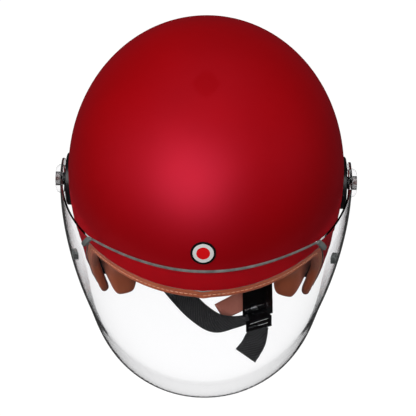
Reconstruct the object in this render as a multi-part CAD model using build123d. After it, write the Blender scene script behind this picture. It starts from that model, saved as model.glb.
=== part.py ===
from build123d import *
from math import cos, radians, sin, sqrt
import os

os.makedirs("parts", exist_ok=True)

# An open-face motorcycle helmet with a bubble visor and a quick-release chin strap.
# Millimetres. +X is the wearer's left, the face looks along -Y and +Z is up.
# Everything is drawn about the middle of the shell's widest line. The last step
# moves it so that z = 0 is the rest plane and the middle of the box is on the Z axis.

# ---- shell ----
HALF_WIDTH = 125.0        # widest line of the painted shell
FRONT_LENGTH = 149.2      # from the pivots' line to the brow
REAR_LENGTH = 136.0
CROWN_HEIGHT = 133.6      # crown above the widest line
RIM_DEPTH = 106.0         # rest plane below the widest line
DOME_POWER = 2.237        # 2 is an ellipse, more is squarer
LOWER_RADIUS = 285.0      # how slowly the sides draw in below the widest line
CROWN_LEVELS = (0.985, 0.94, 0.86, 0.75, 0.6, 0.42, 0.22, 0.03)
SHELL_WALL = 4.0

# ---- layers inside the shell, as depths below the painted surface ----
LINER_WALL = 24.0
LINER_WALL_AT_PADS = 8.0
COMFORT_WALL = 8.0
CHEEK_PAD_DEPTH = 40.0    # inner face of the cheek pads
CHEEK_INNER_X = 65.0      # they come no nearer to each other than this
CHEEK_PAD_PROUD = 1.5     # how far they stand ahead of the edge roll
STUD_RADIUS = 3.0
CHEEK_BACK_Y = -6.0
CHEEK_TOP_Z = 6.0
POCKET_BACK_Y = 44.0      # where the cheek pockets end and the neck pocket starts
NECK_TOP_Z = -52.0
PAD_BOTTOM_Z = -79.0
BROW_PAD_BACK_Y = -70.0
NECK_ROLL_WALL = 22.0
PAD_GAP = 0.4             # free space around each pad in its pocket
PAD_STUDS = [(-62.0, -22.0), (-26.0, -22.0), (-50.0, -68.0)]

# ---- face opening in side view ----
BROW_Z = 34.4             # brow edge at the centre, above the widest line
BROW_SLOPE = 0.165
BROW_CURVE = 0.003
TEMPLE_Y = -90.0
CHEEK_MIDDLE = (-74.0, -40.0)
CHEEK_FOOT_Y = -77.0
TEMPLE_RADIUS = 9.0
CHEEK_RADIUS = 60.0
FOOT_RADIUS = 14.0

# ---- edge roll ----
ROLL_WIDTH = 12.0
ROLL_WALL = 9.0
ROLL_TUCK = 8.0           # how far its lip reaches behind the shell's edge
ROLL_INSET = 0.5

# ---- visor pivot, a stack along X ----
PIVOT_Y = -12.0
PIVOT_Z = -3.0
BASE_RADIUS = 24.0
BASE_FACE_X = 126.8
WASHER_WALL = 0.6
EAR_OUTER_X = 132.4
BOSS_RADIUS = 12.0
BUSH_RADIUS = 5.0
BOLT_RADIUS = 3.0
RUNNING_FIT = 0.05
FACE_GAP = 0.1
CAP_RADIUS = 13.0
CAP_HEIGHT = 4.6
NUT_RADIUS = 7.0
NUT_WALL = 4.0
BASE_SCREW_RADIUS = 1.6
BASE_SCREW_CIRCLE = 18.0
BASE_SCREW_HEAD = (2.6, 0.8)   # radius and height
SCREW_TIP_X = 112.0
BOLT_HEAD = (5.5, 2.4)         # radius and height
BOLT_HEAD_DEPTH = 1.2          # how far it is sunk in the cap
WASHER_RADIUS = 9.0

# ---- visor bubble: height, front, half width and centre of each level ----
VISOR_WALL = 1.8
VISOR_LEVELS = [
    (75.0, -132.2, 115.2, -20.0),
    (45.0, -154.2, 123.1, -20.0),
    (15.0, -173.0, 131.5, -12.0),
    (-15.0, -187.5, 131.5, -12.0),
    (-45.0, -195.0, 119.0, -46.0),
    (-75.0, -192.0, 110.0, -68.0),
    (-100.0, -181.0, 103.0, -74.0),
]
VISOR_FRONT_Y = -142.1    # where its top edge crosses the middle
VISOR_TEMPLE_Y = -100.0
VISOR_TOP_Z = 59.8
VISOR_TOP_SLOPE = 0.186
VISOR_TOP_CURVE = 0.005
VISOR_BOTTOM_Z = -89.0
VISOR_FOOT_Y = -112.0     # rear end of its straight lower edge
EAR_LEAN = 63.0           # where the top edge leaves the ear
EAR_RADIUS = 19.0
SEAL_HEIGHT = 1.0         # bead along the visor's top edge
SEAL_END_Y = -104.0
CLIP_WALL = 1.4
CLIP_WIDTH = 3.6
CLIP_Z = (34.0, 46.0)
BUMP_WALL = 3.0           # soft stops inside the visor at the temples
BUMP_BOX = (-94.0, -88.0, -10.0, 3.0)

# ---- badge on the brow ----
BADGE_RADIUS = 10.5
BADGE_RING_RADIUS = 8.6
BADGE_CORE_RADIUS = 5.6
BADGE_Z = 72.0
BADGE_PROUD = 0.5
BADGE_TILT = 31.4         # slope of the shell there, from upright

# ---- chin strap ----
ANCHOR_X = 101.0
ANCHOR_Y = 12.0
ANCHOR_Z = -62.0
ANCHOR_WALL = 1.6
RIVET_RADIUS = 3.5
RIVET_HEAD_RADIUS = 6.5
WEBBING_WIDTH = 22.0
WEBBING_WALL = 1.8

# ---- buckle, in its own frame: +X across, +Y towards its strap, +Z its upper face ----
BUCKLE_AT = (51.0, -86.0, -89.5)
BUCKLE_ROLL = -38.0
BUCKLE_WIDTH = 27.0
BUCKLE_LENGTH = 38.0
BUCKLE_WALL = 2.0
BUCKLE_HEIGHT = 11.0
TONGUE_WIDTH = 17.0
TONGUE_WALL = 3.0
TOOTH_PITCH = 2.5
TONGUE_GAP = 0.3
LEVER_PIN_RADIUS = 1.5
LEVER_WALL = 2.2
LEVER_GAP = 0.4

FAR = 260.0               # cutting bodies reach past the helmet
HALF_LENGTH = (FRONT_LENGTH + REAR_LENGTH) / 2
DOME_CENTRE_Y = (REAR_LENGTH - FRONT_LENGTH) / 2


def dome_radius(height):
    """Share of the widest line at a height above it, or below it when negative."""
    if height < 0:
        return sqrt(1 - (height / LOWER_RADIUS) ** 2)
    return (1 - (height / CROWN_HEIGHT) ** DOME_POWER) ** (1 / DOME_POWER)


def dome(depth):
    """Everything inside the surface that lies this deep below the painted one."""
    crown = CROWN_HEIGHT - depth
    levels = [(z, dome_radius(z)) for z in (-RIM_DEPTH - 8, -75.0, -38.0, 0.0)]
    for share in CROWN_LEVELS:
        levels.append((crown * (1 - share ** DOME_POWER) ** (1 / DOME_POWER), share))
    rings = []
    for height, share in levels:
        ring = Rot(0, 0, 90) * Ellipse((HALF_LENGTH - depth) * share, (HALF_WIDTH - depth) * share)
        rings.append(Pos(0, DOME_CENTRE_Y, height) * ring)
    return loft(rings)


def brow_height(y):
    back = y + FRONT_LENGTH * dome_radius(BROW_Z)
    return BROW_Z - BROW_SLOPE * back - BROW_CURVE * back ** 2


def helmet_outline():
    """Side view of the shell: past its back and top, along the brow, down the cheek."""
    ahead = -200.0
    foot_z = ROLL_WIDTH - RIM_DEPTH
    middle = (ahead + TEMPLE_Y) / 2
    points = [(y, brow_height(y)) for y in (ahead, middle, TEMPLE_Y)]
    brow = ThreePointArc(*points)
    rest = Polyline(
        (TEMPLE_Y, brow_height(TEMPLE_Y)),
        CHEEK_MIDDLE,
        (CHEEK_FOOT_Y, foot_z),
        (FAR, foot_z),
        (FAR, FAR),
        (ahead, FAR),
        (ahead, brow_height(ahead)),
    )
    face = make_face(brow + rest)
    corners = [
        ((TEMPLE_Y, brow_height(TEMPLE_Y)), TEMPLE_RADIUS),
        (CHEEK_MIDDLE, CHEEK_RADIUS),
        ((CHEEK_FOOT_Y, foot_z), FOOT_RADIUS),
    ]
    for corner, radius in corners:
        face = fillet(face.vertices().sort_by_distance(corner)[0], radius)
    return face


def through(side_view, half=FAR):
    """A side view, drawn as (y, z), pushed through the whole helmet along X."""
    return extrude(Plane.YZ * side_view, amount=half, both=True)


def side_box(y_low, y_high, z_low, z_high, radius=0.0):
    shape = RectangleRounded if radius else Rectangle
    extra = (radius,) if radius else ()
    place = Pos((y_low + y_high) / 2, (z_low + z_high) / 2)
    return through(place * shape(y_high - y_low, z_high - z_low, *extra))


def rod(radius, x_low, x_high, y=PIVOT_Y, z=PIVOT_Z):
    """A cylinder along X."""
    return Pos((x_low + x_high) / 2, y, z) * Rot(0, 90, 0) * Cylinder(radius, x_high - x_low)


def opposite(piece):
    """The same piece on the other side of the helmet."""
    copies = [mirror(solid, about=Plane.YZ) for solid in piece.solids()]
    return copies[0] if len(copies) == 1 else Compound(copies)


def left_half():
    return Pos(FAR / 2, 0, 0) * Box(FAR, 4 * FAR, 4 * FAR)


# ---------------- shell, liner and pads ----------------
outline = helmet_outline()
painted = dome(0)
shell_inside = dome(SHELL_WALL)
pad_back = dome(SHELL_WALL + LINER_WALL_AT_PADS)
liner_inside = dome(SHELL_WALL + LINER_WALL)
comfort_inside = dome(SHELL_WALL + LINER_WALL + COMFORT_WALL)
inside_shell_edge = through(outline)
inside_roll = through(offset(outline, amount=-ROLL_TUCK))
roll_reach = through(offset(outline, amount=ROLL_WIDTH))

bolt_holes = rod(BOLT_RADIUS, -FAR, FAR)
rivet_holes = rod(RIVET_RADIUS, -FAR, FAR, ANCHOR_Y, ANCHOR_Z)
screw_spots = []
for turn in (90, 210, 330):
    screw_y = PIVOT_Y + BASE_SCREW_CIRCLE * cos(radians(turn))
    screw_z = PIVOT_Z + BASE_SCREW_CIRCLE * sin(radians(turn))
    screw_spots.append((screw_y, screw_z))
screw_holes = [rod(BASE_SCREW_RADIUS, -FAR, FAR, y, z) for y, z in screw_spots]

nodes = {}
shell = (painted - shell_inside) & inside_shell_edge
shell = shell - bolt_holes - rivet_holes
for hole in screw_holes:
    shell = shell - hole
nodes["outer_shell"] = shell

roll_back = dome(SHELL_WALL + ROLL_WALL)
roll_face = (dome(ROLL_INSET) - roll_back) & (roll_reach - inside_shell_edge)
roll_lip = (shell_inside - roll_back) & (inside_shell_edge - inside_roll)
roll = roll_face + roll_lip
rest_plane_box = Pos(0, 0, FAR - RIM_DEPTH) * Box(4 * FAR, 4 * FAR, 2 * FAR)
nodes["edge_roll"] = roll & rest_plane_box

cheek_pocket = side_box(-FAR, POCKET_BACK_Y, -FAR, CHEEK_TOP_Z + PAD_GAP)
neck_pocket = side_box(POCKET_BACK_Y, FAR, -FAR, NECK_TOP_Z + PAD_GAP)

liner = (shell_inside - liner_inside) & inside_roll
liner = liner - (pad_back & cheek_pocket) - (pad_back & neck_pocket)
liner = liner - rod(NUT_RADIUS, -FAR, FAR) + (
    liner & rod(NUT_RADIUS, -HALF_WIDTH + SHELL_WALL + NUT_WALL, HALF_WIDTH - SHELL_WALL - NUT_WALL)
)
liner = liner - rod(RIVET_HEAD_RADIUS, -FAR, FAR, ANCHOR_Y, ANCHOR_Z)
for hole in screw_holes:
    liner = liner - (hole - rod(FAR, -SCREW_TIP_X, SCREW_TIP_X, 0, 0))
for y, z in PAD_STUDS:
    liner = liner - rod(STUD_RADIUS, -FAR, FAR, y, z)
nodes["impact_liner"] = liner

comfort = (liner_inside - comfort_inside) & inside_roll
nodes["brow_pad"] = comfort & side_box(-FAR, BROW_PAD_BACK_Y, 24.0, FAR)
nodes["crown_pad"] = comfort & side_box(BROW_PAD_BACK_Y + 2, 90.0, 40.0, FAR, 8)

cheek_face = dome(CHEEK_PAD_DEPTH)
behind_roll = through(offset(outline, amount=-ROLL_TUCK - PAD_GAP))
cheek_back_part = (pad_back - cheek_face) & behind_roll
roll_clear = dome(SHELL_WALL + ROLL_WALL + PAD_GAP)
cheek_front_part = (roll_clear - cheek_face) & through(offset(outline, amount=ROLL_WIDTH + CHEEK_PAD_PROUD))
cheek_solid = cheek_back_part + cheek_front_part
cheek_solid = cheek_solid & side_box(-FAR, CHEEK_BACK_Y, PAD_BOTTOM_Z, CHEEK_TOP_Z)
cheek_solid = cheek_solid & Pos(CHEEK_INNER_X, 0, 0) * left_half()
for y, z in PAD_STUDS:
    cheek_solid = cheek_solid - rod(STUD_RADIUS, 0, FAR, y, z)
neck_face = dome(SHELL_WALL + LINER_WALL_AT_PADS + NECK_ROLL_WALL)
neck_solid = (pad_back - neck_face) & behind_roll
nodes["neck_roll"] = neck_solid & side_box(POCKET_BACK_Y + PAD_GAP, FAR, PAD_BOTTOM_Z, NECK_TOP_Z)

# ---------------- badge ----------------
badge_y = DOME_CENTRE_Y - HALF_LENGTH * dome_radius(BADGE_Z)
badge_place = Pos(0, badge_y, BADGE_Z) * Rot(90 - BADGE_TILT, 0, 0)
raised = dome(-BADGE_PROUD)
discs = [
    ("badge_rim", BADGE_RADIUS, BADGE_RING_RADIUS),
    ("badge_ring", BADGE_RING_RADIUS, BADGE_CORE_RADIUS),
    ("badge_core", BADGE_CORE_RADIUS, 0.0),
]
for name, outer, inner in discs:
    column = badge_place * Cylinder(outer, 30)
    if inner:
        column = column - badge_place * Cylinder(inner, 31)
    nodes[name] = (column & raised) - painted

# ---------------- pivots, one side then the other ----------------
plate = rod(BASE_RADIUS, 0, BASE_FACE_X) - painted
plate = chamfer(plate.edges().filter_by(GeomType.CIRCLE).sort_by(Axis.X)[-1], 0.8)
plate = plate - bolt_holes
screws = []
head_radius, head_height = BASE_SCREW_HEAD
for y, z in screw_spots:
    plate = plate - rod(BASE_SCREW_RADIUS, 0, FAR, y, z)
    shank = rod(BASE_SCREW_RADIUS, SCREW_TIP_X, BASE_FACE_X, y, z)
    screws.append(shank + rod(head_radius, BASE_FACE_X, BASE_FACE_X + head_height, y, z))

boss_x = BASE_FACE_X + WASHER_WALL + FACE_GAP
washer = rod(WASHER_RADIUS, BASE_FACE_X, BASE_FACE_X + WASHER_WALL) - bolt_holes
cap_x = EAR_OUTER_X + FACE_GAP
head_x = cap_x + BOLT_HEAD_DEPTH
head_radius, head_height = BOLT_HEAD
bolt_head = rod(head_radius, head_x, head_x + head_height)
cap = rod(CAP_RADIUS, cap_x, cap_x + CAP_HEIGHT)
cap = fillet(cap.edges().filter_by(GeomType.CIRCLE).sort_by(Axis.X)[-1], 3.6)
cap = cap - bolt_holes.cut(rod(FAR, head_x, FAR + 1)) - bolt_head
nut_x = HALF_WIDTH - SHELL_WALL - NUT_WALL
bolt = rod(BOLT_RADIUS, nut_x, head_x) + bolt_head
bolt = bolt - rod(BOLT_RADIUS / 2, head_x + head_height - 1.4, FAR)
nut = (rod(NUT_RADIUS, nut_x, HALF_WIDTH) & shell_inside) - bolt_holes
bush = rod(BUSH_RADIUS, boss_x, EAR_OUTER_X) - rod(BOLT_RADIUS + RUNNING_FIT, 0, FAR)

# ---------------- strap anchors ----------------
anchor_reach = 13.0
tab_face = SlotCenterToCenter(anchor_reach, 16).face()
at_anchor = {"y": ANCHOR_Y, "z": ANCHOR_Z}
anchor_tab = Rot(0, 90, 0) * extrude(tab_face, ANCHOR_WALL)
anchor_tab = Pos(ANCHOR_X, ANCHOR_Y, ANCHOR_Z - anchor_reach / 2) * anchor_tab
anchor_tab = anchor_tab - rod(RIVET_RADIUS + RUNNING_FIT, 0, FAR, **at_anchor)
rivet = rod(RIVET_RADIUS, ANCHOR_X - 1.2, FAR, **at_anchor) & painted
rivet = rivet + rod(RIVET_HEAD_RADIUS - 1, ANCHOR_X - 2.2, ANCHOR_X - FACE_GAP, **at_anchor)
collar_x = ANCHOR_X + ANCHOR_WALL + FACE_GAP
rivet = rivet + (rod(RIVET_HEAD_RADIUS - 0.1, collar_x, FAR, **at_anchor) & shell_inside)

stud_zone = dome(SHELL_WALL + 2.0) - dome(SHELL_WALL + LINER_WALL_AT_PADS + 10.0)
studs = Compound([rod(STUD_RADIUS, 0, FAR, y, z) & stud_zone for y, z in PAD_STUDS])
sides = {
    "visor_base": plate,
    "base_screws": Compound(screws),
    "wave_washer": washer,
    "pivot_cap": cap,
    "pivot_bolt": bolt,
    "pivot_nut": nut,
    "ear_bush": bush,
    "strap_anchor": anchor_tab,
    "anchor_rivet": rivet,
    "cheek_pad": cheek_solid,
    "cheek_snaps": studs,
}
for name, piece in sides.items():
    nodes[name + "_left"] = piece
    nodes[name + "_right"] = opposite(piece)


# ---------------- visor ----------------
def bubble(depth):
    """The bubble's closed form, this deep below its outer face."""
    levels = []
    for height, front, half_width, centre in VISOR_LEVELS:
        ring = Rot(0, 0, 90) * Ellipse(centre - front - depth, half_width - depth)
        levels.append(Pos(0, centre, height) * ring)
    return loft(levels)


def visor_outline(margin=0.0):
    """Side view of the visor; margin lowers the top edge, for the seal that sits on it."""
    ahead = -225.0

    def top(y):
        back = y - VISOR_FRONT_Y
        return VISOR_TOP_Z - VISOR_TOP_SLOPE * back - VISOR_TOP_CURVE * back ** 2 - margin

    middle = (ahead + VISOR_TEMPLE_Y) / 2
    slope = -VISOR_TOP_SLOPE - 2 * VISOR_TOP_CURVE * (ahead - VISOR_FRONT_Y)
    handle = (middle, top(ahead) + slope * (middle - ahead))
    temple = (VISOR_TEMPLE_Y, top(VISOR_TEMPLE_Y))
    brow = Bezier((ahead, top(ahead)), handle, temple)
    lean = radians(EAR_LEAN)
    ear_top = (PIVOT_Y + EAR_RADIUS * cos(lean), PIVOT_Z + EAR_RADIUS * sin(lean) - margin)
    ear_back = (PIVOT_Y + EAR_RADIUS, PIVOT_Z)
    ear_low = (PIVOT_Y + EAR_RADIUS * cos(-0.6), PIVOT_Z + EAR_RADIUS * sin(-0.6))
    upper = Line(temple, ear_top)
    ear = ThreePointArc(ear_top, ear_back, ear_low)
    lower = Polyline(
        ear_low,
        (-44.0, -30.0),
        (VISOR_FOOT_Y + 20, VISOR_BOTTOM_Z + 12),
        (VISOR_FOOT_Y, VISOR_BOTTOM_Z),
        (ahead, VISOR_BOTTOM_Z),
        (ahead, top(ahead)),
    )
    return make_face(brow + upper + ear + lower)


bubble_outside = bubble(0)
bubble_inside = bubble(VISOR_WALL)
visor_side = through(visor_outline())
visor = (bubble_outside - bubble_inside) & visor_side
visor = visor + rod(BOSS_RADIUS, boss_x, EAR_OUTER_X) + rod(BOSS_RADIUS, -EAR_OUTER_X, -boss_x)
visor = visor - rod(BUSH_RADIUS, -FAR, FAR)

# a grey rubber bead is the visor's top edge between the temples, with a clip at each end
bead_zone = (visor_side - through(visor_outline(SEAL_HEIGHT))) & side_box(-FAR, SEAL_END_Y, 0, FAR)
nodes["visor_shield"] = visor - bead_zone
nodes["visor_seal"] = (bubble_outside - bubble_inside) & bead_zone
clip_zone = (bubble(-CLIP_WALL) - bubble_outside) & left_half()
clip_box = side_box(SEAL_END_Y - CLIP_WIDTH / 2, SEAL_END_Y + CLIP_WIDTH / 2, *CLIP_Z, 1.2)
bump_zone = (bubble_inside - bubble(VISOR_WALL + BUMP_WALL)) & left_half()
bump = bump_zone & side_box(*BUMP_BOX, 2.5)
clip = clip_zone & clip_box
for name, piece in (("seal_clip", clip), ("bump_stop", bump)):
    nodes[name + "_left"] = piece
    nodes[name + "_right"] = opposite(piece)


# ---------------- chin strap ----------------
def station(point, across, along, width=WEBBING_WIDTH, wall=WEBBING_WALL):
    """One cross-section of a flat band, square to the way it runs."""
    along = Vector(*along).normalized()
    across = Vector(*across)
    across = (across - along * across.dot(along)).normalized()
    return Plane(origin=point, x_dir=across, z_dir=along) * Rectangle(width, wall)


def band(stations, **sizes):
    return loft([station(*row, **sizes) for row in stations], ruled=True)


buckle = Pos(*BUCKLE_AT) * Rot(0, BUCKLE_ROLL, 0)
across_buckle = (cos(radians(BUCKLE_ROLL)), 0, -sin(radians(BUCKLE_ROLL)))


def block(x_half, y_low, y_high, z_low, z_high):
    """A box in the buckle's frame, centred across it."""
    middle = Pos(0, (y_low + y_high) / 2, (z_low + z_high) / 2)
    return middle * Box(2 * x_half, y_high - y_low, z_high - z_low)


def cross_rod(radius, half_length, y, z):
    return Pos(0, y, z) * Rot(0, 90, 0) * Cylinder(radius, 2 * half_length)


half_width = BUCKLE_WIDTH / 2
mouth_y = -BUCKLE_LENGTH / 2
back_y = BUCKLE_LENGTH / 2
slot_low = -TONGUE_WALL / 2 - TONGUE_GAP
slot_high = TONGUE_WALL / 2 + TONGUE_GAP
floor_z = slot_low - BUCKLE_WALL
inner_half = half_width - BUCKLE_WALL
rail_half = TONGUE_WIDTH / 2 + TONGUE_GAP
pin_y = mouth_y + 6
pin_z = slot_high + 3.2
bar_y = back_y + 6
frame = block(half_width, mouth_y, back_y, floor_z, slot_low)
walls = block(half_width, mouth_y, bar_y + 2, floor_z, floor_z + BUCKLE_HEIGHT)
frame = frame + walls
frame = frame - block(inner_half, mouth_y - 1, bar_y + 3, slot_low, floor_z + BUCKLE_HEIGHT + 1)
frame = frame - block(inner_half, back_y, bar_y + 3, floor_z - 1, slot_low + 1)
frame = frame + block(inner_half, mouth_y, back_y - 5, slot_low, slot_high)
frame = frame - block(rail_half, mouth_y - 1, back_y, slot_low, slot_high + 1)
frame = frame - cross_rod(LEVER_PIN_RADIUS, half_width + 1, pin_y, pin_z)
frame = frame + cross_rod(1.6, half_width, bar_y, 0)
nodes["buckle_frame"] = buckle * frame
nodes["buckle_pin"] = buckle * cross_rod(LEVER_PIN_RADIUS, half_width, pin_y, pin_z)

lever_half = inner_half - LEVER_GAP
hub = cross_rod(3.0, lever_half, pin_y, pin_z)
lever = block(lever_half, pin_y, back_y - 2, pin_z + 0.8, pin_z + 0.8 + LEVER_WALL)
lever = lever + hub + block(6.0, pin_y + 3, pin_y + 7, slot_high + 0.2, pin_z + 1)
lever = lever - block(4.0, pin_y - 4, pin_y + 2.8, slot_high - 1, pin_z + 5)
lever = lever - cross_rod(LEVER_PIN_RADIUS + RUNNING_FIT, half_width, pin_y, pin_z)
nodes["buckle_lever"] = buckle * lever
coil = cross_rod(2.6, 3.6, pin_y, pin_z)
coil = coil - cross_rod(LEVER_PIN_RADIUS + RUNNING_FIT, 5, pin_y, pin_z)
nodes["lever_spring"] = buckle * coil
tab = block(lever_half - 1.5, back_y - 12, back_y - 2.5, pin_z + 0.8 + LEVER_WALL, pin_z + 5)
nodes["lever_tab"] = buckle * fillet(tab.edges().filter_by(Axis.Z), 2.0)

tongue_end = mouth_y - 3
tongue = block(TONGUE_WIDTH / 2, tongue_end, back_y - 8, -TONGUE_WALL / 2, TONGUE_WALL / 2)
for step in range(9):
    tooth_y = mouth_y + 6 + step * TOOTH_PITCH
    tongue = tongue - Pos(0, tooth_y, TONGUE_WALL / 2) * Rot(45, 0, 0) * Box(12, 1.1, 1.1)
nodes["ratchet_tongue"] = buckle * tongue
slider_y = tongue_end - 11
slider = block(half_width, slider_y, tongue_end, -1.8, 1.8)
for y in (slider_y + 2.2, slider_y + 6.4):
    slider = slider - block(inner_half, y, y + 2.4, -3, 3)
nodes["strap_slider"] = buckle * slider

loop = cross_rod(1.7 + WEBBING_WALL, WEBBING_WIDTH / 2, bar_y, 0) - cross_rod(1.7, 20, bar_y, 0)
loop_end = (BUCKLE_AT[0], BUCKLE_AT[1] + bar_y + 2.4, BUCKLE_AT[2])
hang_x = ANCHOR_X - WEBBING_WALL / 2
hang = [
    ((hang_x, ANCHOR_Y, ANCHOR_Z - 7), (0, 1, 0), (0, 0, -1)),
    ((hang_x, ANCHOR_Y, ANCHOR_Z - 21), (0, 1, 0), (0, 0, -1)),
]
left_run = hang + [
    ((94, 9, -91), (-0.3, 0.9, 0), (-0.5, -0.2, -0.8)),
    ((80, -4, -96), (-0.7, 0.7, -0.2), (-0.7, -0.7, -0.2)),
    ((62, -30, -94), (-0.8, 0.3, -0.5), (-0.35, -0.9, 0.1)),
    (loop_end, (-across_buckle[0], 0, -across_buckle[2]), (0, -1, 0)),
]
nodes["webbing_left"] = band(left_run) + buckle * loop
pad_wall = 3.0
flap = [
    ((58, -48, -100.9), (0.8, -0.3, 0.3), (-0.4, -0.9, -0.1)),
    ((50, -68, -103.9), (0.8, -0.6, 0), (-0.6, -0.8, 0)),
    ((36, -82, -103.9), (0.5, -0.8, 0), (-0.85, -0.5, 0)),
    ((14, -95, -103.9), (0.5, -0.8, 0), (-0.85, -0.5, 0)),
]
nodes["strap_flap"] = band(flap, width=19.0, wall=pad_wall)

right_hang = [((-x, y, z), across, along) for (x, y, z), across, along in hang]
right_run = right_hang + [
    ((-94, 9, -92), (0.2, 0.9, 0), (0.5, -0.2, -0.8)),
    ((-80, -8, -99), (0.6, 0.7, 0), (0.7, -0.6, -0.2)),
    ((-56, -38, -102), (0.7, 0.7, 0), (0.7, -0.7, 0)),
    ((-18, -84, -100), (0.76, 0.65, 0), (0.65, -0.76, 0)),
    ((8, -108, -98), (0.5, 0.8, 0.25), (0.8, -0.5, 0)),
    ((28, -114, -98), (0.1, 0.9, 0.6), (0.97, 0.0, 0)),
]
nodes["webbing_right"] = band(right_run)
tail_top = (BUCKLE_AT[0], BUCKLE_AT[1] + slider_y, BUCKLE_AT[2])
tail_run = [
    (tail_top, across_buckle, (0, -1, 0)),
    ((49, -125, -93.5), (0.85, -0.1, 0.5), (-0.3, -0.8, -0.5)),
    ((45, -132, -100), (0.9, -0.3, 0.25), (-0.4, -0.7, -0.5)),
    ((39, -140, -103.8), (0.9, -0.42, 0), (-0.42, -0.9, 0)),
]
nodes["strap_tail"] = band(tail_run)

# ---------------- place on the rest plane and write ----------------
everything = Compound(list(nodes.values()))
box = everything.bounding_box()
to_origin = Pos(-box.center().X, -box.center().Y, RIM_DEPTH)
for name, piece in nodes.items():
    export_step(to_origin * piece, f"parts/{name}.step")
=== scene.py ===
import math

import bmesh
import bpy
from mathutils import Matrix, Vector


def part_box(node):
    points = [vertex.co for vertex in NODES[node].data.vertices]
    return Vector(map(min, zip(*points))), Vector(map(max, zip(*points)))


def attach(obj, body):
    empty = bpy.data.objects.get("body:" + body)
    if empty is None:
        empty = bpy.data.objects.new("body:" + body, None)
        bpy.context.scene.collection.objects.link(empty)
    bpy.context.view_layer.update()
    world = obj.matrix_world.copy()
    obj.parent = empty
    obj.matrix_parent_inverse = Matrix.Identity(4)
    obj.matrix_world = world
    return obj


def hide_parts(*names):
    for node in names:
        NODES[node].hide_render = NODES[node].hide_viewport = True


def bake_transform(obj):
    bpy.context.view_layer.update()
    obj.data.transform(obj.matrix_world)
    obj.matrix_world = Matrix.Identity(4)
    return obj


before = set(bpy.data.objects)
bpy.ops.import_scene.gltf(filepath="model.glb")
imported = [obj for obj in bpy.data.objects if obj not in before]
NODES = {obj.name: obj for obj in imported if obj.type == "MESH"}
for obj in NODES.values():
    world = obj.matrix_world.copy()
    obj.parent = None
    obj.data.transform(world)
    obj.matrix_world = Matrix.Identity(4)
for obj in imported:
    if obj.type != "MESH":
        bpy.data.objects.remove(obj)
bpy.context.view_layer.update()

MM = 0.001

# ---- the shell's own form, repeated from the part's sizes and placed by its box ----
shell_low, shell_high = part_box("outer_shell")
HALF_WIDTH = (shell_high.x - shell_low.x) / 2
HALF_LENGTH = 142.6 * MM
CROWN_HEIGHT = 133.6 * MM
LOWER_RADIUS = 285 * MM
DOME_POWER = 2.237
ROLL_WIDTH = 12 * MM
DOME_Y = shell_high.y - HALF_LENGTH
WIDEST_Z = shell_high.z - CROWN_HEIGHT
PIVOT_LINE_Y = DOME_Y + 6.6 * MM          # the line that the brow is measured from


# ---------------------------------------------------------------- colours and nodes
def hex_colour(code):
    """An sRGB hex colour as linear red, green, blue and alpha."""
    parts = [int(code[i:i + 2], 16) / 255 for i in (1, 3, 5)]
    linear = [c / 12.92 if c <= 0.04045 else ((c + 0.055) / 1.055) ** 2.4 for c in parts]
    return (*linear, 1.0)


def add_node(material, kind, settings=None, **links):
    """Adds one shader node. Links are given by input name, with spaces as underscores."""
    tree = material.node_tree
    node = tree.nodes.new(kind)
    for name, value in (settings or {}).items():
        if name in node.inputs:
            node.inputs[name].default_value = value
        else:
            setattr(node, name, value)
    for name, source in links.items():
        tree.links.new(source, node.inputs[name.replace("_", " ")])
    return node


def new_material(name, colour, roughness, **settings):
    """A material with one Principled shader, and that shader's node."""
    material = bpy.data.materials.new(name)
    material.use_nodes = True
    shader = material.node_tree.nodes["Principled BSDF"]
    shader.inputs["Base Color"].default_value = hex_colour(colour)
    shader.inputs["Roughness"].default_value = roughness
    for key, value in settings.items():
        shader.inputs[key.replace("_", " ")].default_value = value
    return material, shader


def link(material, source, shader, name):
    material.node_tree.links.new(source, shader.inputs[name])


def mottle(material, shader, place, pale, deep, scale, low=0.35, high=0.65):
    """Lets the base colour drift between two hex colours."""
    noise = add_node(material, "ShaderNodeTexNoise", {"Scale": scale, "Detail": 4.0}, Vector=place)
    ramp = add_node(material, "ShaderNodeValToRGB", None, Fac=noise.outputs["Fac"])
    ramp.color_ramp.elements[0].position = low
    ramp.color_ramp.elements[0].color = hex_colour(deep)
    ramp.color_ramp.elements[1].position = high
    ramp.color_ramp.elements[1].color = hex_colour(pale)
    link(material, ramp.outputs["Color"], shader, "Base Color")
    return noise


def raise_surface(material, shader, height, distance, strength=1.0):
    bump = add_node(material, "ShaderNodeBump", {"Strength": strength, "Distance": distance}, Height=height)
    link(material, bump.outputs["Normal"], shader, "Normal")
    return bump


def object_place(material):
    return add_node(material, "ShaderNodeTexCoord").outputs["Object"]


# ---------------------------------------------------------------- materials
def satin_lacquer():
    """Sprayed satin polyurethane over ABS: a broad sheen, and the faint ripple of sprayed paint."""
    material, shader = new_material(
        "satin_red_lacquer", "#A30006", 0.5, Specular_IOR_Level=0.6, Metallic=0.35)
    shader.inputs["Specular Tint"].default_value = (1.0, 0.4, 0.9, 1.0)
    place = object_place(material)
    mottle(material, shader, place, "#BC0000", "#B20000", 9.0)
    ripple = add_node(material, "ShaderNodeTexNoise", {"Scale": 620.0, "Detail": 2.0}, Vector=place)
    raise_surface(material, shader, ripple.outputs["Fac"], 0.02 * MM, 0.35)
    return material


def bead_foam():
    """Moulded polystyrene beads, 3 mm across, in grey: matt, with a pebbled skin."""
    material, shader = new_material("moulded_bead_foam", "#3A3A3C", 0.85)
    place = object_place(material)
    beads = add_node(material, "ShaderNodeTexVoronoi", {"Scale": 330.0}, Vector=place)
    raise_surface(material, shader, beads.outputs["Distance"], 0.5 * MM, 0.8)
    mottle(material, shader, place, "#434346", "#2E2E30", 300.0)
    return material


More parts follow.
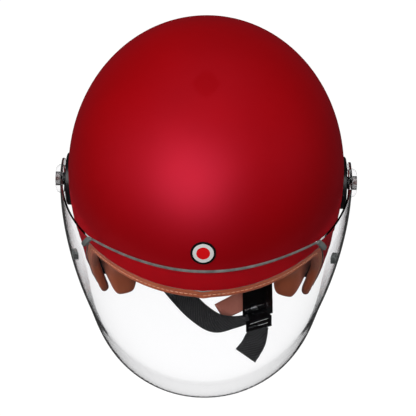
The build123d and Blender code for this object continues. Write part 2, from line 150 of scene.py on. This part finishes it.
def leatherette(name, pale, deep):
    """Embossed polyurethane leather: pebble grain about 1 mm across and a soft low gloss."""
    material, shader = new_material(name, pale, 0.55, Specular_IOR_Level=0.4)
    place = object_place(material)
    mottle(material, shader, place, pale, deep, 38.0)
    grain = add_node(material, "ShaderNodeTexVoronoi", {"Scale": 900.0}, Vector=place)
    grain.feature = "SMOOTH_F1"
    crease = add_node(material, "ShaderNodeTexNoise", {"Scale": 210.0, "Detail": 5.0}, Vector=place)
    both = add_node(material, "ShaderNodeMath", {"operation": "ADD"})
    material.node_tree.links.new(grain.outputs["Distance"], both.inputs[0])
    material.node_tree.links.new(crease.outputs["Fac"], both.inputs[1])
    raise_surface(material, shader, both.outputs["Value"], 0.25 * MM, 0.55)
    shader.inputs["Sheen Weight"].default_value = 0.08
    return material


def brushed_lining():
    """Brushed knitted polyester: matt, fuzzy, with a fine rib every 1.6 mm."""
    material, shader = new_material("brushed_lining_cloth", "#5A2A20", 0.95)
    shader.inputs["Sheen Weight"].default_value = 0.4
    shader.inputs["Sheen Roughness"].default_value = 0.6
    place = object_place(material)
    mottle(material, shader, place, "#63301F", "#4A2118", 90.0)
    rib = add_node(material, "ShaderNodeTexWave", {"Scale": 100.0, "Distortion": 1.5}, Vector=place)
    raise_surface(material, shader, rib.outputs["Fac"], 0.3 * MM, 0.6)
    return material


SHEET_IOR = 1.14


def clear_polycarbonate(name, roughness):
    """Injection moulded polycarbonate: clear, glossy, and throwing almost no shadow.

    The solid plastic's IOR is 1.58. It is set lower here, so that a thin sheet's two faces bend
    and mirror the light as little as the real sheet seems to.
    """
    material, shader = new_material(name, "#FCFDFD", roughness, Transmission_Weight=1.0)
    shader.inputs["IOR"].default_value = SHEET_IOR
    edge = add_node(material, "ShaderNodeLayerWeight", {"Blend": 0.5})
    tint = add_node(material, "ShaderNodeValToRGB", None, Fac=edge.outputs["Facing"])
    tint.color_ramp.elements[0].position = 0.3
    tint.color_ramp.elements[0].color = hex_colour("#F9F9FA")
    tint.color_ramp.elements[1].position = 0.95
    tint.color_ramp.elements[1].color = hex_colour("#F5F5F6")
    link(material, tint.outputs["Color"], shader, "Base Color")
    path = add_node(material, "ShaderNodeLightPath")
    clear = add_node(material, "ShaderNodeBsdfTransparent", {"Color": (0.96, 0.96, 0.97, 1.0)})
    mix = add_node(material, "ShaderNodeMixShader", None, Fac=path.outputs["Is Shadow Ray"])
    output = material.node_tree.nodes["Material Output"]
    material.node_tree.links.new(shader.outputs["BSDF"], mix.inputs[1])
    material.node_tree.links.new(clear.outputs["BSDF"], mix.inputs[2])
    material.node_tree.links.new(mix.outputs["Shader"], output.inputs["Surface"])
    return material


def extruded_rubber():
    """Extruded grey EPDM: matt with a dusty bloom."""
    material, shader = new_material("grey_extruded_rubber", "#6E7371", 0.7)
    place = object_place(material)
    bloom = mottle(material, shader, place, "#7C817F", "#5C605F", 160.0)
    raise_surface(material, shader, bloom.outputs["Fac"], 0.05 * MM, 0.4)
    return material


def moulded_nylon(name, colour, worn, roughness):
    """Moulded nylon: fine spark-eroded grain, a little paler where it is handled."""
    material, shader = new_material(name, colour, roughness)
    place = object_place(material)
    mottle(material, shader, place, worn, colour, 120.0, 0.45, 0.8)
    grain = add_node(material, "ShaderNodeTexNoise", {"Scale": 1500.0, "Detail": 2.0}, Vector=place)
    raise_surface(material, shader, grain.outputs["Fac"], 0.03 * MM, 0.4)
    return material


def plated_steel(name, colour, roughness):
    """Zinc over pressed or turned steel: metallic, with faint marks along the way it was worked."""
    material, shader = new_material(name, colour, roughness, Metallic=1.0)
    place = object_place(material)
    stretch = add_node(material, "ShaderNodeMapping", {"Scale": (60.0, 900.0, 900.0)}, Vector=place)
    along = stretch.outputs["Vector"]
    marks = add_node(material, "ShaderNodeTexNoise", {"Scale": 1.0, "Detail": 3.0}, Vector=along)
    raise_surface(material, shader, marks.outputs["Fac"], 0.03 * MM, 0.5)
    return material


def woven_polyester():
    """Black polyester webbing: a twill whose ribs slant across the band, 1.5 mm apart."""
    material, shader = new_material("woven_black_polyester", "#151517", 0.75)
    shader.inputs["Sheen Weight"].default_value = 0.08
    shader.inputs["Sheen Roughness"].default_value = 0.4
    across = add_node(material, "ShaderNodeUVMap").outputs["UV"]
    ribs = add_node(material, "ShaderNodeTexWave", {"Scale": 0.21, "Distortion": 0.6, "Detail Scale": 3.0},
                    Vector=across)
    ribs.bands_direction = "DIAGONAL"
    threads = add_node(material, "ShaderNodeTexWave", {"Scale": 0.55, "Distortion": 0.3}, Vector=across)
    threads.bands_direction = "Y"
    both = add_node(material, "ShaderNodeMath", {"operation": "ADD"})
    material.node_tree.links.new(ribs.outputs["Fac"], both.inputs[0])
    material.node_tree.links.new(threads.outputs["Fac"], both.inputs[1])
    raise_surface(material, shader, both.outputs["Value"], 0.35 * MM, 0.8)
    tint = add_node(material, "ShaderNodeValToRGB", None, Fac=ribs.outputs["Fac"])
    tint.color_ramp.elements[0].color = hex_colour("#0A0A0B")
    tint.color_ramp.elements[1].color = hex_colour("#2C2C2E")
    link(material, tint.outputs["Color"], shader, "Base Color")
    return material


def enamel(name, colour):
    """Domed enamel: hard, smooth and glossy, with the slight unevenness of a poured fill."""
    material, shader = new_material(name, colour, 0.22)
    place = object_place(material)
    pour = add_node(material, "ShaderNodeTexNoise", {"Scale": 260.0, "Detail": 1.0}, Vector=place)
    raise_surface(material, shader, pour.outputs["Fac"], 0.03 * MM, 0.5)
    return material


LACQUER = satin_lacquer()
FOAM = bead_foam()
TAN = leatherette("tan_leatherette", "#B25A36", "#A24C2C")
DARK_TAN = leatherette("brown_leatherette", "#A85437", "#93452D")
PALE_TAN = leatherette("pale_tan_leatherette", "#BC7565", "#A96252")
LINING = brushed_lining()
CLEAR = clear_polycarbonate("clear_polycarbonate", 0.015)
CAP_CLEAR = clear_polycarbonate("clear_moulded_cap", 0.06)
RUBBER = extruded_rubber()
NYLON = moulded_nylon("black_nylon", "#0B0B0D", "#1B1B1E", 0.3)
RED_NYLON = moulded_nylon("red_nylon", "#B00012", "#C81828", 0.28)
GLOSSY_BLACK = moulded_nylon("gloss_black_enamelled_steel", "#08080A", "#151518", 0.12)
STEEL = plated_steel("zinc_plated_steel", "#9A9DA1", 0.32)
DULL_STEEL = plated_steel("dull_zinc_plated_steel", "#6B5A58", 0.45)
WEBBING = woven_polyester()
THREAD = moulded_nylon("pale_sewing_thread", "#C98D6E", "#D9A488", 0.6)
BADGE_BLACK = enamel("black_enamel", "#0D0D0E")
BADGE_WHITE = enamel("white_enamel", "#F1F1EF")
BADGE_RED = enamel("red_enamel", "#F01018")

CAD_FINISHES = {
    "outer_shell": LACQUER, "impact_liner": FOAM, "visor_shield": CLEAR, "visor_seal": RUBBER,
    "badge_rim": BADGE_BLACK, "badge_ring": BADGE_WHITE, "badge_core": BADGE_RED,
    "visor_base": NYLON, "base_screws": STEEL, "wave_washer": STEEL, "pivot_cap": CAP_CLEAR,
    "pivot_bolt": DULL_STEEL, "pivot_nut": STEEL, "ear_bush": NYLON, "strap_anchor": STEEL,
    "anchor_rivet": STEEL, "cheek_snaps": NYLON, "seal_clip": RUBBER, "bump_stop": RUBBER,
    "buckle_frame": GLOSSY_BLACK, "buckle_pin": STEEL, "buckle_lever": GLOSSY_BLACK, "lever_spring": STEEL,
    "lever_tab": RED_NYLON, "ratchet_tongue": GLOSSY_BLACK, "strap_slider": GLOSSY_BLACK,
}


def finish_cad_nodes():
    for name, obj in NODES.items():
        base = name.replace("_left", "").replace("_right", "")
        material = CAD_FINISHES.get(base)
        if material is None:
            continue
        obj.data.materials.clear()
        obj.data.materials.append(material)


# ---------------------------------------------------------------- the shell as a formula
def level_share(height):
    """Share of the widest ring at a height above the widest line."""
    if height <= 0:
        return math.sqrt(1 - (height / LOWER_RADIUS) ** 2)
    return max(1e-6, 1 - (height / CROWN_HEIGHT) ** DOME_POWER) ** (1 / DOME_POWER)


def dome_value(point):
    """Zero on the painted surface, positive outside it."""
    share = level_share(point.z - WIDEST_Z)
    ring = math.hypot(point.x / HALF_WIDTH, (point.y - DOME_Y) / HALF_LENGTH)
    return ring / share - 1


def dome_normal(point):
    step = 0.2 * MM
    axes = (Vector((step, 0, 0)), Vector((0, step, 0)), Vector((0, 0, step)))
    slope = [dome_value(point + a) - dome_value(point - a) for a in axes]
    return Vector(slope).normalized()


def dome_x(y, height):
    """Half width of the painted surface at a place in side view."""
    share = level_share(height)
    rest = 1 - ((y - DOME_Y) / (HALF_LENGTH * share)) ** 2
    return HALF_WIDTH * share * math.sqrt(max(rest, 0))


def brow_height(y):
    """Height of the shell's brow edge above the widest line, in side view."""
    front = PIVOT_LINE_Y - 149.2 * MM * level_share(34.4 * MM)
    back = (y - front) / MM
    return (34.4 - 0.165 * back - 0.003 * back ** 2) * MM


TEMPLE_Y = PIVOT_LINE_Y - 90 * MM
CHEEK_MIDDLE = Vector((PIVOT_LINE_Y - 74 * MM, -40 * MM))
FOOT_Y = PIVOT_LINE_Y - 77 * MM
RIM_HEIGHT = ROLL_WIDTH - WIDEST_Z        # the shell's lower edge, above the widest line


def round_corner(before, corner, after, radius, count=9):
    """Points of a rounded corner between two straight runs in side view."""
    into = (corner - before).normalized()
    out = (after - corner).normalized()
    turn = math.acos(max(-1, min(1, into.dot(out))))
    reach = radius * math.tan(turn / 2)
    start = corner - into * reach
    middle = (out - into).normalized()
    centre = corner + middle * (radius / math.cos(turn / 2))
    from_centre = start - centre
    side = into * radius
    points = []
    for i in range(count):
        angle = turn * i / (count - 1)
        points.append(centre + from_centre * math.cos(angle) + side * math.sin(angle))
    return points


def edge_path():
    """The shell's edge all the way round, from the brow's middle, as points on the surface."""
    half = []
    temple = Vector((TEMPLE_Y, brow_height(TEMPLE_Y)))
    foot = Vector((FOOT_Y, RIM_HEIGHT))
    ahead = temple + Vector((-20 * MM, brow_height(TEMPLE_Y - 20 * MM) - temple.y))
    temple_arc = round_corner(ahead, temple, CHEEK_MIDDLE, 9 * MM)
    cheek_arc = round_corner(temple, CHEEK_MIDDLE, foot, 60 * MM)
    foot_arc = round_corner(CHEEK_MIDDLE, foot, foot + Vector((60 * MM, 0)), 14 * MM)
    brow_end = dome_x(temple_arc[0].x, temple_arc[0].y)
    count = 46
    for i in range(count):
        x = brow_end * i / count
        low, high = DOME_Y - HALF_LENGTH, temple_arc[0].x
        for _ in range(40):
            middle = (low + high) / 2
            if dome_x(middle, brow_height(middle)) < x:
                low = middle
            else:
                high = middle
        half.append(Vector((x, low, WIDEST_Z + brow_height(low))))
    side = list(temple_arc)
    side += [temple_arc[-1].lerp(cheek_arc[0], i / 15) for i in range(1, 15)]
    side += cheek_arc
    side += [cheek_arc[-1].lerp(foot_arc[0], i / 12) for i in range(1, 12)]
    side += foot_arc
    half += [Vector((dome_x(p.x, p.y), p.x, WIDEST_Z + p.y)) for p in side]
    share = level_share(RIM_HEIGHT)
    start = math.acos((foot_arc[-1].x - DOME_Y) / (HALF_LENGTH * share))
    for i in range(1, 91):
        angle = start * (1 - i / 90)
        y = DOME_Y + HALF_LENGTH * share * math.cos(angle)
        half.append(Vector((HALF_WIDTH * share * math.sin(angle), y, WIDEST_Z + RIM_HEIGHT)))
    other = [Vector((-p.x, p.y, p.z)) for p in half[-2:0:-1]]
    return half + other


def even_loop(points, spacing):
    """The closed line through the points, again at even spacing."""
    lengths = [0.0]
    closed = points + [points[0]]
    for a, b in zip(closed, closed[1:]):
        lengths.append(lengths[-1] + (b - a).length)
    count = round(lengths[-1] / spacing)
    result, k = [], 0
    for i in range(count):
        along = lengths[-1] * i / count
        while lengths[k + 1] < along:
            k += 1
        share = (along - lengths[k]) / (lengths[k + 1] - lengths[k])
        result.append(closed[k].lerp(closed[k + 1], share))
    return result


def smooth_loop(points, rounds):
    for _ in range(rounds):
        last = points[-1:] + points[:-1]
        following = points[1:] + points[:1]
        points = [(a + b * 2 + c) / 4 for a, b, c in zip(last, points, following)]
    return points


def loop_frames(points):
    """At each point: the point, the way into the opening, and the way out of the surface."""
    frames = []
    for i, point in enumerate(points):
        ahead = points[(i + 1) % len(points)] - points[i - 1]
        normal = dome_normal(point)
        inward = ahead.cross(normal).normalized()
        frames.append((point, inward, normal))
    if frames[0][1].z > 0:
        frames = [(p, -o, n) for p, o, n in frames]
    return frames


# ---------------------------------------------------------------- mesh helpers
def add_piece(name, mesh, material, body, replaced=(), smooth=True):
    if smooth:
        mesh.shade_smooth()
    obj = bpy.data.objects.new(name, mesh)
    bpy.context.scene.collection.objects.link(obj)
    obj.data.materials.append(material)
    if replaced:
        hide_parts(*replaced)
    if body:
        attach(obj, body)
    return obj


def grid_mesh(name, rings, close_rings, close_ends=False, uvs=None):
    """A mesh of rings of points, each joined to the next. close_rings joins the last to the first."""
    mesh = bpy.data.meshes.new(name)
    width = len(rings[0])
    points = [p for ring in rings for p in ring]
    faces = []
    total = len(rings)
    for i in range(total if close_rings else total - 1):
        a, b = i * width, ((i + 1) % total) * width
        for k in range(width):
            n = (k + 1) % width
            faces.append((a + k, a + n, b + n, b + k))
    if close_ends:
        faces.append(tuple(reversed(range(width))))
        faces.append(tuple((total - 1) * width + k for k in range(width)))
    mesh.from_pydata(points, [], faces)
    if uvs:
        layer = mesh.uv_layers.new(name="UVMap")
        for loop in mesh.loops:
            layer.data[loop.index].uv = uvs[loop.vertex_index]
    work = bmesh.new()
    work.from_mesh(mesh)
    bmesh.ops.recalc_face_normals(work, faces=work.faces)
    work.to_mesh(mesh)
    work.free()
    return mesh


def smooth_outline(points, rounds=2):
    """Rounds a closed outline by cutting its corners."""
    for _ in range(rounds):
        cut = []
        for i, p in enumerate(points):
            q = points[(i + 1) % len(points)]
            cut.append(tuple(a * 0.75 + b * 0.25 for a, b in zip(p, q)))
            cut.append(tuple(a * 0.25 + b * 0.75 for a, b in zip(p, q)))
        points = cut
    return points


def capsule_chain(name, segments, radius):
    """Short threads, each from one point to another, with rounded ends."""
    mesh = bpy.data.meshes.new(name)
    points, faces = [], []
    sides = 6
    for a, b, up in segments:
        along = (b - a).normalized()
        across = along.cross(up).normalized()
        upward = across.cross(along)
        length = (b - a).length
        start = len(points)
        for share, size in ((0, 0.25), (0.12, 0.85), (0.5, 1.0), (0.88, 0.85), (1, 0.25)):
            centre = a + along * (length * share)
            for k in range(sides):
                angle = 2 * math.pi * k / sides
                out = across * math.cos(angle) + upward * math.sin(angle)
                points.append(centre + out * (radius * size))
        for ring in range(4):
            low = start + ring * sides
            for k in range(sides):
                n = (k + 1) % sides
                faces.append((low + k, low + n, low + sides + n, low + sides + k))
        faces.append(tuple(start + k for k in reversed(range(sides))))
        faces.append(tuple(start + 4 * sides + k for k in range(sides)))
    mesh.from_pydata(points, [], faces)
    return mesh


# ---------------------------------------------------------------- edge roll
STITCH_INSET = 6.0 * MM       # from the shell's edge to the line of stitches
STITCH_DEPTH = 0.62 * MM      # the stitches lie in a shallow channel
STITCH_STEP = 1.0 * MM
STITCH_PITCH = 4              # steps from one stitch to the next
STITCH_LENGTH = 3             # steps that the thread shows for
THREAD_RADIUS = 0.38 * MM
BEAD_RADIUS = 0.5 * MM


def make_edge_roll():
    """The folded leatherette binding round the shell's edge, its stitching and the grey edge line."""
    path = smooth_loop(even_loop(edge_path(), 2.4 * MM), 6)
    frames = loop_frames(path)
    outline = [
        (0.3, -0.9), (2.0, -0.35), (5.0, -0.5), (6.0, -0.95), (7.0, -0.5), (9.6, -0.7), (11.6, -2.4),
        (11.9, -5.2), (10.6, -7.8), (6.0, -9.2), (0.0, -9.4), (-7.6, -9.2), (-7.6, -4.3), (0.3, -4.3),
    ]
    outline = smooth_outline(outline, 2)
    rings = []
    for point, inward, normal in frames:
        rings.append([point + inward * (u * MM) + normal * (v * MM) for u, v in outline])
    roll = add_piece("edge_roll_cover", grid_mesh("edge_roll_cover", rings, True), TAN,
                     "helmet", ("edge_roll",))

    stitches = []
    stitch_line = [p + o * STITCH_INSET - n * STITCH_DEPTH for p, o, n in frames]
    stitch_line = even_loop(stitch_line, STITCH_STEP)
    for i in range(0, len(stitch_line) - STITCH_PITCH, STITCH_PITCH):
        a = stitch_line[i]
        b = stitch_line[i + STITCH_LENGTH]
        stitches.append((a, b, dome_normal(a)))
    mesh = capsule_chain("edge_roll_stitches", stitches, THREAD_RADIUS)
    add_piece("edge_roll_stitches", mesh, THREAD, "helmet")

    bead = []
    for point, inward, normal in frames:
        centre = point + inward * (0.25 * MM) - normal * (0.45 * MM)
        ring = []
        for k in range(8):
            angle = 2 * math.pi * k / 8
            aside = inward * (BEAD_RADIUS * math.cos(angle))
            ring.append(centre + aside + normal * (BEAD_RADIUS * math.sin(angle)))
        bead.append(ring)
    add_piece("shell_edge_bead", grid_mesh("shell_edge_bead", bead, True), RUBBER, "helmet")


# ---------------------------------------------------------------- padded pieces
def padded_piece(name, node, material, voxel, puff, smoothing):
    """A stuffed piece grown from a CAD solid: rounded all over, and swollen between its edges."""
    source = NODES[node]
    mesh = source.data.copy()
    mesh.name = name
    mesh.materials.clear()
    obj = add_piece(name, mesh, material, None)
    remesh = obj.modifiers.new("remesh", "REMESH")
    remesh.mode = "VOXEL"
    remesh.voxel_size = voxel
    rounding = obj.modifiers.new("rounding", "SMOOTH")
    rounding.factor = 0.6
    rounding.iterations = smoothing
    swell = obj.modifiers.new("swell", "DISPLACE")
    swell.strength = puff
    swell.mid_level = 0.0
    fine = obj.modifiers.new("fine", "SUBSURF")
    fine.levels = 1
    fine.render_levels = 1
    bake_modifiers(obj)
    if node.startswith("cheek_pad"):
        fill_to_roll(obj.data)
    obj.data.shade_smooth()
    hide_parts(node)
    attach(obj, "helmet")
    return obj


BULGE_INNER_FADE = 16 * MM    # no bulge at the inner face, where the buckle swings past
BULGE_BACK_FADE = 38 * MM
BULGE_UP_FADE = 50 * MM
BULGE_AHEAD = 4.5 * MM
BULGE_DOWN = 5.0 * MM
BULGE_OUT = 2.0 * MM


def fill_to_roll(mesh):
    """Lets the front lower part of a cheek pad bulge forward and down against the edge roll."""
    low = min(v.co.z for v in mesh.vertices)
    front = min(v.co.y for v in mesh.vertices)
    inner = min(abs(v.co.x) for v in mesh.vertices)
    for vertex in mesh.vertices:
        aside = min(1.0, (abs(vertex.co.x) - inner) / BULGE_INNER_FADE)
        ahead = aside * max(0.0, 1 - (vertex.co.y - front) / BULGE_BACK_FADE)
        down = max(0.0, 1 - (vertex.co.z - low) / BULGE_UP_FADE)
        vertex.co.y -= BULGE_AHEAD * ahead * (0.35 + 0.65 * down)
        vertex.co.z -= BULGE_DOWN * down * ahead
        vertex.co.x += math.copysign(BULGE_OUT * ahead * down, vertex.co.x)


def bake_modifiers(obj):
    """Makes the modified shape the mesh itself."""
    graph = bpy.context.evaluated_depsgraph_get()
    made = bpy.data.meshes.new_from_object(obj.evaluated_get(graph))
    material = obj.data.materials[0]
    obj.modifiers.clear()
    obj.data = made
    obj.data.materials.clear()
    obj.data.materials.append(material)


def make_pads():
    pads = [
        ("cheek_pad_left_cover", "cheek_pad_left", TAN, "leatherette", 3.2, 0.6, 8, 0.8),
        ("cheek_pad_right_cover", "cheek_pad_right", TAN, "leatherette", 3.2, 0.6, 8, 0.8),
        ("neck_roll_cover", "neck_roll", DARK_TAN, "leatherette", 3.4, 1.0, 8, 0.8),
        ("brow_pad_cover", "brow_pad", LINING, "lining", 3.0, 0.4, 5, 0.6),
        ("crown_pad_cover", "crown_pad", LINING, "lining", 3.4, 0.4, 5, 0.6),
    ]
    for name, node, material, slot_name, voxel, puff, smoothing, fill in pads:
        padded_piece(name, node, material, voxel * MM, puff * MM, smoothing)


# ---------------------------------------------------------------- chin strap
STRAP_Y = PIVOT_LINE_Y
STRAP_Z = WIDEST_Z


def strap_point(x, y, z):
    """A place given in millimetres from the middle of the shell's widest line."""
    return Vector((x * MM, STRAP_Y + y * MM, STRAP_Z + z * MM))


def spline_through(values, per_span):
    """A smooth line through vectors, Catmull and Rom's."""
    ends = [values[0] * 2 - values[1]] + list(values) + [values[-1] * 2 - values[-2]]
    result = []
    for i in range(1, len(ends) - 2):
        p0, p1, p2, p3 = ends[i - 1:i + 3]
        for k in range(per_span):
            t = k / per_span
            result.append(((p1 * 2) + (p2 - p0) * t + (p0 * 2 - p1 * 5 + p2 * 4 - p3) * t ** 2
                           + (p1 * 3 - p0 - p2 * 3 + p3) * t ** 3) / 2)
    result.append(ends[-2].copy())
    return result


def band_rings(stations, per_span, wall):
    """Rings and UVs of a flat band. A station is a point, the way across and the width."""
    centres = spline_through([strap_point(*s[0]) for s in stations], per_span)
    across = spline_through([Vector(s[1]).normalized() for s in stations], per_span)
    widths = spline_through([Vector((s[2], 0, 0)) for s in stations], per_span)
    rings, uvs, frames = [], [], []
    travelled = 0.0
    columns = 12
    for i, centre in enumerate(centres):
        before = centres[max(i - 1, 0)]
        after = centres[min(i + 1, len(centres) - 1)]
        along = (after - before).normalized()
        side = (across[i] - along * across[i].dot(along)).normalized()
        up = along.cross(side)
        if i:
            travelled += (centre - centres[i - 1]).length
        half = widths[i].x * MM / 2
        ring = []
        for k in range(columns + 1):
            u = -half + 2 * half * k / columns
            edge = 1 - abs(2 * k / columns - 1) ** 6 * 0.55
            ring.append((u, wall / 2 * edge))
        for k in range(columns, -1, -1):
            u = -half + 2 * half * k / columns
            edge = 1 - abs(2 * k / columns - 1) ** 6 * 0.55
            ring.append((u, -wall / 2 * edge))
        rings.append([centre + side * u + up * v for u, v in ring])
        uvs += [(u / MM, travelled / MM) for u, v in ring]
        frames.append((centre, side, up, half))
    return rings, uvs, frames


def band_piece(name, stations, body, replaced, material=None, wall=1.5, per_span=14):
    rings, uvs, frames = band_rings(stations, per_span, wall * MM)
    mesh = grid_mesh(name, rings, False, True, uvs)
    obj = add_piece(name, mesh, material or WEBBING, body, replaced)
    return obj, frames


FLAP_WALL = 2.6               # millimetres, as band_piece takes its wall


def make_strap():
    left = [
        ((100, 12, -69), (0, 1, 0), 22), ((100, 12, -82), (0, 1, 0), 22), ((94, 9, -91), (-0.3, 0.9, 0), 22),
        ((80, -4, -96), (-0.7, 0.7, -0.2), 22), ((62, -30, -94), (-0.8, 0.3, -0.5), 22),
        ((51, -61.5, -89.5), (-0.79, 0, -0.62), 22),
    ]
    band_piece("webbing_left_band", left, "chin_strap", ("webbing_left",))
    right = [
        ((-100, 12, -69), (0, 1, 0), 22), ((-100, 12, -82), (0, 1, 0), 22),
        ((-94, 9, -92), (0.2, 0.9, 0), 22), ((-80, -8, -99), (0.6, 0.7, 0), 22),
        ((-56, -38, -102), (0.7, 0.7, 0), 22), ((-22, -80, -101), (0.8, 0.6, 0), 22),
        ((-6, -98, -99), (0.66, 0.75, 0.1), 21),
        ((10, -109, -98), (0.3, 0.9, 0.3), 19), ((27, -109, -97), (-0.1, 0.8, 0.6), 12),
        ((42, -106, -95), (-0.1, 0.7, 0.7), 9),
    ]
    obj, _ = band_piece("webbing_right_band", right, None, ("webbing_right",))
    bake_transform(obj)
    tail = [
        ((51, -116, -89.5), (0.79, 0, 0.62), 22), ((49, -125, -93.5), (0.85, -0.1, 0.5), 22),
        ((45, -132, -100), (0.9, -0.3, 0.25), 22), ((39, -140, -104.2), (0.9, -0.42, 0), 22.8),
    ]
    band_piece("strap_tail_band", tail, "buckle_tongue", ("strap_tail",))
    flap = [
        ((58, -48, -100.9), (0.8, -0.3, 0.3), 19), ((50, -68, -103.4), (0.8, -0.6, 0), 19),
        ((36, -82, -103.6), (0.5, -0.8, 0), 19), ((14, -95, -103.6), (0.5, -0.8, 0), 18),
    ]
    obj, _ = band_piece("strap_flap_cover", flap, "chin_strap", ("strap_flap",),
                        PALE_TAN, FLAP_WALL)


# ---------------------------------------------------------------- stage, lights and camera
def unbounced(material):
    """One where light arrives straight or through clear plastic, nought after a bounce."""
    path = add_node(material, "ShaderNodeLightPath")
    bounces = add_node(material, "ShaderNodeMath", {"operation": "ADD"})
    material.node_tree.links.new(path.outputs["Diffuse Depth"], bounces.inputs[0])
    material.node_tree.links.new(path.outputs["Glossy Depth"], bounces.inputs[1])
    direct = add_node(material, "ShaderNodeMath", {"operation": "LESS_THAN"})
    material.node_tree.links.new(bounces.outputs["Value"], direct.inputs[0])
    direct.inputs[1].default_value = 0.5
    return direct.outputs["Value"]


def make_stage():
    bpy.ops.mesh.primitive_plane_add(size=8.0, location=(0, 0, -0.0004))
    floor = bpy.context.object
    floor.name = "floor"
    material = bpy.data.materials.new("pale_studio_floor")
    material.use_nodes = True
    shader = material.node_tree.nodes["Principled BSDF"]
    shader.inputs["Base Color"].default_value = (0.05, 0.05, 0.05, 1)
    shader.inputs["Roughness"].default_value = 1.0
    shader.inputs["Specular IOR Level"].default_value = 0.0
    shader.inputs["Emission Color"].default_value = (1, 1, 1, 1)
    link(material, unbounced(material), shader, "Emission Strength")
    floor.data.materials.append(material)
    floor.visible_glossy = False
    floor.visible_diffuse = False

    bpy.context.scene.view_settings.view_transform = "Standard"
    world = bpy.data.worlds.new("studio")
    bpy.context.scene.world = world
    world.use_nodes = True
    tree = world.node_tree
    background = tree.nodes["Background"]
    background.inputs["Color"].default_value = (1, 1, 1, 1)
    direct = unbounced(world)
    level = add_node(world, "ShaderNodeMapRange", {"To Min": 0.05, "To Max": 1.0}, Value=direct)
    tree.links.new(level.outputs["Result"], background.inputs["Strength"])


def add_softbox(name, place, target, size, power, seen_in_gloss=False):
    light = bpy.data.lights.new(name, "AREA")
    light.shape = "RECTANGLE"
    light.size, light.size_y = size
    light.energy = power
    obj = bpy.data.objects.new(name, light)
    bpy.context.scene.collection.objects.link(obj)
    obj.location = place
    obj.visible_glossy = seen_in_gloss
    obj.rotation_euler = (Vector(target) - Vector(place)).to_track_quat("-Z", "Y").to_euler()
    return obj


def make_lights():
    middle = (0, 0, 0.12)
    add_softbox("brow_softbox", (-0.3, -0.68, 1.5), middle, (1.35, 1.35), 17, True)
    add_softbox("crown_softbox", (0.0, 0.9, 1.5), middle, (1.4, 0.8), 8)
    add_softbox("left_softbox", (-1.5, -0.1, 0.9), middle, (0.9, 1.2), 7)
    add_softbox("right_softbox", (1.5, 0.0, 0.9), middle, (0.9, 1.2), 6)


FOCAL_WIDTHS = 2.87259615     # the lens, in widths of the picture
AIM_RIGHT = 1.380753 * MM      # where it aims, beside and below the widest line's middle
AIM_DOWN = 36.820084 * MM


def make_camera():
    """Looks down at the brow from in front, just off the middle, from a little over a metre."""
    azimuth = math.radians(1.2)
    elevation = math.radians(56)
    distance = 1.1
    data = bpy.data.cameras.new("camera")
    data.sensor_width = 36.0
    data.lens = FOCAL_WIDTHS * data.sensor_width
    camera = bpy.data.objects.new("camera", data)
    bpy.context.scene.collection.objects.link(camera)
    focus = Vector((0, PIVOT_LINE_Y, WIDEST_Z))
    back = Vector((math.sin(azimuth) * math.cos(elevation), -math.cos(azimuth) * math.cos(elevation),
                   math.sin(elevation)))
    right = Vector((math.cos(azimuth), math.sin(azimuth), 0))
    up = back.cross(right)
    camera.location = focus + back * distance
    aim = focus + right * AIM_RIGHT - up * AIM_DOWN
    camera.rotation_euler = (aim - camera.location).to_track_quat("-Z", "Y").to_euler()
    bpy.context.scene.camera = camera


finish_cad_nodes()
make_edge_roll()
make_pads()
make_strap()
make_stage()
make_lights()
make_camera()
